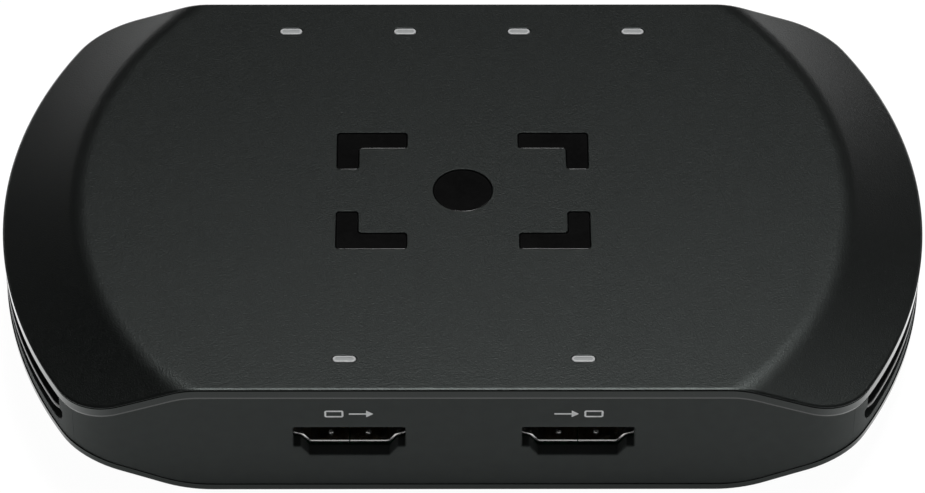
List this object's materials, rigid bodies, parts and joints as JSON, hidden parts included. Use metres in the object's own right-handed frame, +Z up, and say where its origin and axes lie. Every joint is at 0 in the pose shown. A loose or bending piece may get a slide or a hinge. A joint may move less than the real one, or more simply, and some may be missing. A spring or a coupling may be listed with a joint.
{
  "type": "video capture box",
  "caption": "Flat round-ended video capture box with sloping vented ends, video sockets in front, small data and audio ports behind and lit windows in its top.",
  "frame": {"origin": "middle of the box's footprint, on the surface that its feet stand on", "axes": "+X to the right seen from the front, +Y towards the back, +Z up"},
  "size_m": [0.124, 0.073, 0.0204],
  "materials": {
    "grained_plastic": "fine matt grain",
    "gloss_black": "polished",
    "satin_plastic": "satin",
    "vent_plastic": "satin",
    "light_pipe": "milky translucent",
    "lamp_body": "moulded",
    "socket_metal": "nickel plated",
    "socket_plastic": "moulded",
    "contact_gold": "gold plated",
    "board_laminate": "solder resist",
    "chip_black": "moulded",
    "thermal_pad": "soft",
    "spreader_metal": "bare",
    "ferrite": "pressed",
    "screw_steel": "zinc plated",
    "foot_rubber": "matt"
  },
  "bodies": {
    "root": {"top_plate": "grained_plastic", "emblem_inlay": "gloss_black", "upper_housing": "satin_plastic", "front_panel": "satin_plastic", "rear_panel": "satin_plastic", "bottom_cover": "satin_plastic", "left_louvre": "vent_plastic", "right_louvre": "vent_plastic", "front_light_pipe_1": "light_pipe", "front_light_pipe_2": "light_pipe", "rear_light_pipe_1": "light_pipe", "rear_light_pipe_2": "light_pipe", "rear_light_pipe_3": "light_pipe", "rear_light_pipe_4": "light_pipe", "front_lamp_1": "lamp_body", "front_lamp_2": "lamp_body", "rear_lamp_1": "lamp_body", "rear_lamp_2": "lamp_body", "rear_lamp_3": "lamp_body", "rear_lamp_4": "lamp_body", "video_out_shell": "socket_metal", "video_in_shell": "socket_metal", "data_port_shell": "socket_metal", "power_port_shell": "socket_metal", "audio_in_ring": "socket_metal", "audio_out_ring": "socket_metal", "video_out_insulator": "socket_plastic", "video_in_insulator": "socket_plastic", "data_port_tongue": "socket_plastic", "power_port_tongue": "socket_plastic", "audio_in_jack": "socket_plastic", "audio_out_jack": "socket_plastic", "video_out_contacts": "contact_gold", "video_in_contacts": "contact_gold", "main_board": "board_laminate", "video_processor": "chip_black", "memory_chip_1": "chip_black", "memory_chip_2": "chip_black", "input_receiver": "chip_black", "output_driver": "chip_black", "bridge_chip": "chip_black", "flash_chip": "chip_black", "thermal_pad": "thermal_pad", "heat_spreader": "spreader_metal", "clock_crystal": "spreader_metal", "capacitor_cans": "spreader_metal", "power_inductor_1": "ferrite", "power_inductor_2": "ferrite", "case_screws": "screw_steel", "board_screws": "screw_steel", "foot_1": "foot_rubber", "foot_2": "foot_rubber", "foot_3": "foot_rubber", "foot_4": "foot_rubber"}
  },
  "joints": []
}
